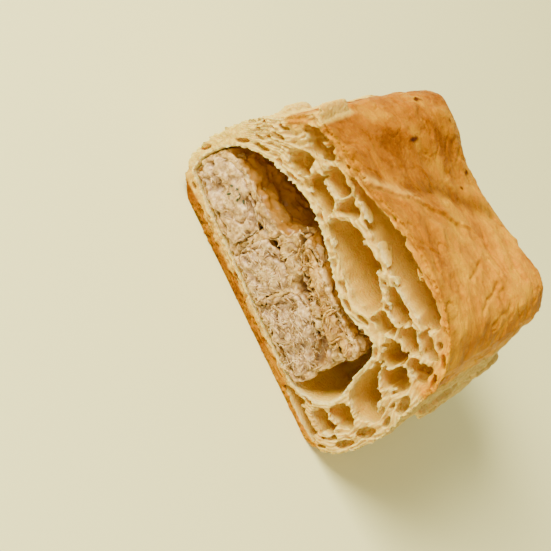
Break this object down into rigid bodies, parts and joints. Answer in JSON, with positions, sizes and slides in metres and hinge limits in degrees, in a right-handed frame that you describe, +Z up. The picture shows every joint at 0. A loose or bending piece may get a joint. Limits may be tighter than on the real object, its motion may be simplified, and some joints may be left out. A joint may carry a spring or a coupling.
{
  "type": "chicken puff half",
  "caption": "Half of a baked puff-pastry parcel with a chicken filling, cut across so that its hollow flaky layers and filling show, lying on its flat base.",
  "frame": {"origin": "centre of the bounding box, on the flat base", "axes": "+X along the width of the cut face, -Y out of the cut face, +Z up through the top crust"},
  "size_m": [0.0824, 0.0628, 0.0512],
  "materials": {
    "baked_pastry": "golden egg-washed crust over pale flaky layers",
    "bound_filling": "moist creamy sauce with crumbs and herbs",
    "chicken_meat": "moist cooked white meat with visible fibres"
  },
  "bodies": {
    "root": {"pastry": "baked_pastry", "filling": "bound_filling", "chicken_left": "chicken_meat", "chicken_middle": "chicken_meat", "chicken_right": "chicken_meat", "chicken_top": "chicken_meat"}
  },
  "joints": []
}
